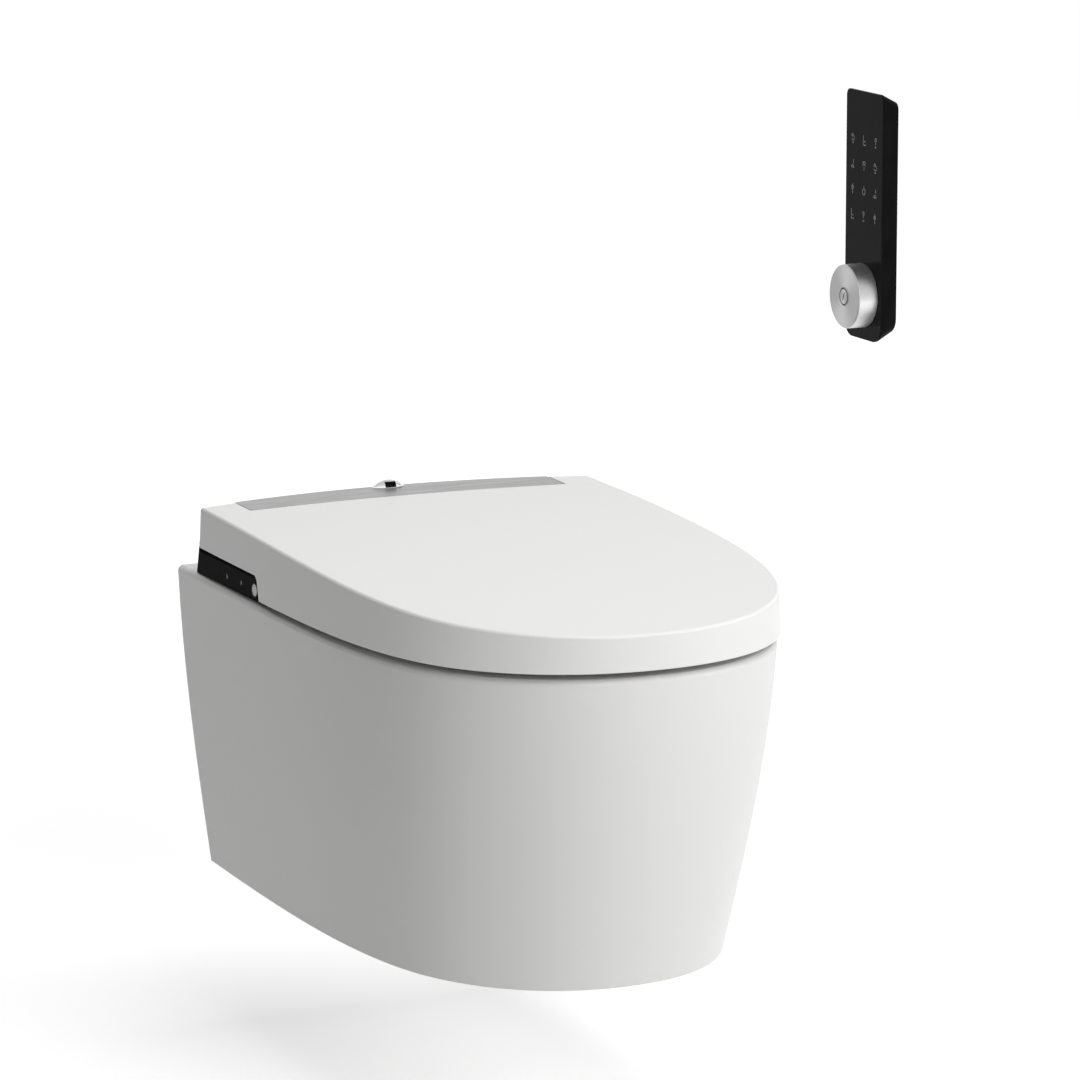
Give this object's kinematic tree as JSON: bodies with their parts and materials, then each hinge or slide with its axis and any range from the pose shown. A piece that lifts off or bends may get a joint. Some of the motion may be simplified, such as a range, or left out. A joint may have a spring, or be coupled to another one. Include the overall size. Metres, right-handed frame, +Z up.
{
  "type": "shower toilet with heated seat",
  "caption": "Wall-hung shower toilet with a heated seat, soft-closing lid, rear control housing, side button and a wall remote with a turning knob.",
  "frame": {"origin": "midway between the two wall bolts, on the plane of the wall that the pan hangs on", "axes": "+Z up, -Y out of the wall towards the user (front), +X to the right seen from the front"},
  "size_m": [0.6389, 0.5769, 0.6575],
  "materials": {
    "glaze": "glossy white glaze",
    "white_gloss": "polished white duroplast",
    "white_inner": "white, slightly less polished",
    "housing_white": "fine satin",
    "brushed_strip": "brushed along X",
    "chrome_trim": "polished",
    "black_gloss": "polished black",
    "zinc_steel": "zinc plated",
    "grey_nylon": "moulded",
    "dark_rubber": "soft grey",
    "heater_film": "heating film",
    "brass_block": "machined",
    "tank_plastic": "moulded",
    "supply_case": "plain",
    "board_green": "circuit board",
    "nozzle_steel": "satin",
    "cap_white": "polished",
    "lamp_white": "translucent",
    "remote_glass_black": "polished black",
    "remote_black": "fine satin",
    "magnet_black": "coated magnet",
    "turned_aluminium": "turned and brushed"
  },
  "bodies": {
    "pan": {"ceramic_pan": "glaze", "fixing_sleeves": "grey_nylon", "mounting_plate": "zinc_steel", "deck_screws": "zinc_steel", "deck_nuts": "grey_nylon", "unit_base": "housing_white", "rear_cover": "housing_white", "metal_strip": "brushed_strip", "sensor_dome": "chrome_trim", "sensor_window": "black_gloss", "side_panel_right": "black_gloss", "side_panel_left": "black_gloss", "status_lights": "lamp_white", "lid_damper": "grey_nylon", "seat_damper": "grey_nylon", "water_heater": "tank_plastic", "water_pump": "tank_plastic", "valve_block": "brass_block", "power_supply": "supply_case", "heater_hose": "dark_rubber", "control_board": "board_green", "wand_guide": "grey_nylon", "wall_holder": "remote_black", "holder_magnets": "magnet_black", "holder_pad": "grey_nylon"},
    "lid": {"lid_shell": "white_gloss", "lid_liner": "white_inner", "lid_buffers": "dark_rubber", "lid_shaft": "zinc_steel"},
    "seat": {"seat_top": "white_gloss", "seat_tray": "white_inner", "seat_heater": "heater_film", "seat_buffers": "dark_rubber", "seat_shaft": "zinc_steel", "presence_sensor": "heater_film"},
    "wand": {"wand_tube": "white_inner", "wand_nozzle": "nozzle_steel", "wand_cap": "cap_white"},
    "side_button": {"side_button": "chrome_trim"},
    "remote": {"remote_glass": "remote_glass_black", "remote_shell": "remote_black", "remote_board": "board_green", "remote_battery": "nozzle_steel", "battery_cover": "remote_black", "remote_plate": "zinc_steel", "knob_spindle": "zinc_steel", "knob_clip": "zinc_steel"},
    "knob": {"knob_ring": "turned_aluminium"},
    "knob_button": {"knob_button": "turned_aluminium"}
  },
  "joints": [
    {"name": "lid_hinge", "type": "hinge", "parent": "seat", "child": "lid", "pos_m": [0, -0.053, 0.124], "axis": [1, 0, 0], "range_deg": [-93, 0]},
    {"name": "seat_hinge", "type": "hinge", "parent": "pan", "child": "seat", "pos_m": [0, -0.053, 0.124], "axis": [-1, 0, 0], "range_deg": [0, 91.5]},
    {"name": "wand_slide", "type": "slide", "parent": "pan", "child": "wand", "axis": [0, -0.9703, -0.2419], "range_m": [0, 0.09]},
    {"name": "side_button_press", "type": "slide", "parent": "pan", "child": "side_button", "axis": [1, 0, 0], "range_m": [0, 0.001], "stiffness_N_per_m": 500},
    {"name": "remote_lift", "type": "slide", "parent": "pan", "child": "remote", "axis": [-1, 0, 0], "range_m": [0, 0.03]},
    {"name": "knob_turn", "type": "hinge", "parent": "remote", "child": "knob", "pos_m": [0.43, -0.1035, 0.2907], "axis": [1, 0, 0], "continuous": true},
    {"name": "knob_press", "type": "slide", "parent": "knob", "child": "knob_button", "axis": [1, 0, 0], "range_m": [0, 0.001], "stiffness_N_per_m": 500}
  ]
}
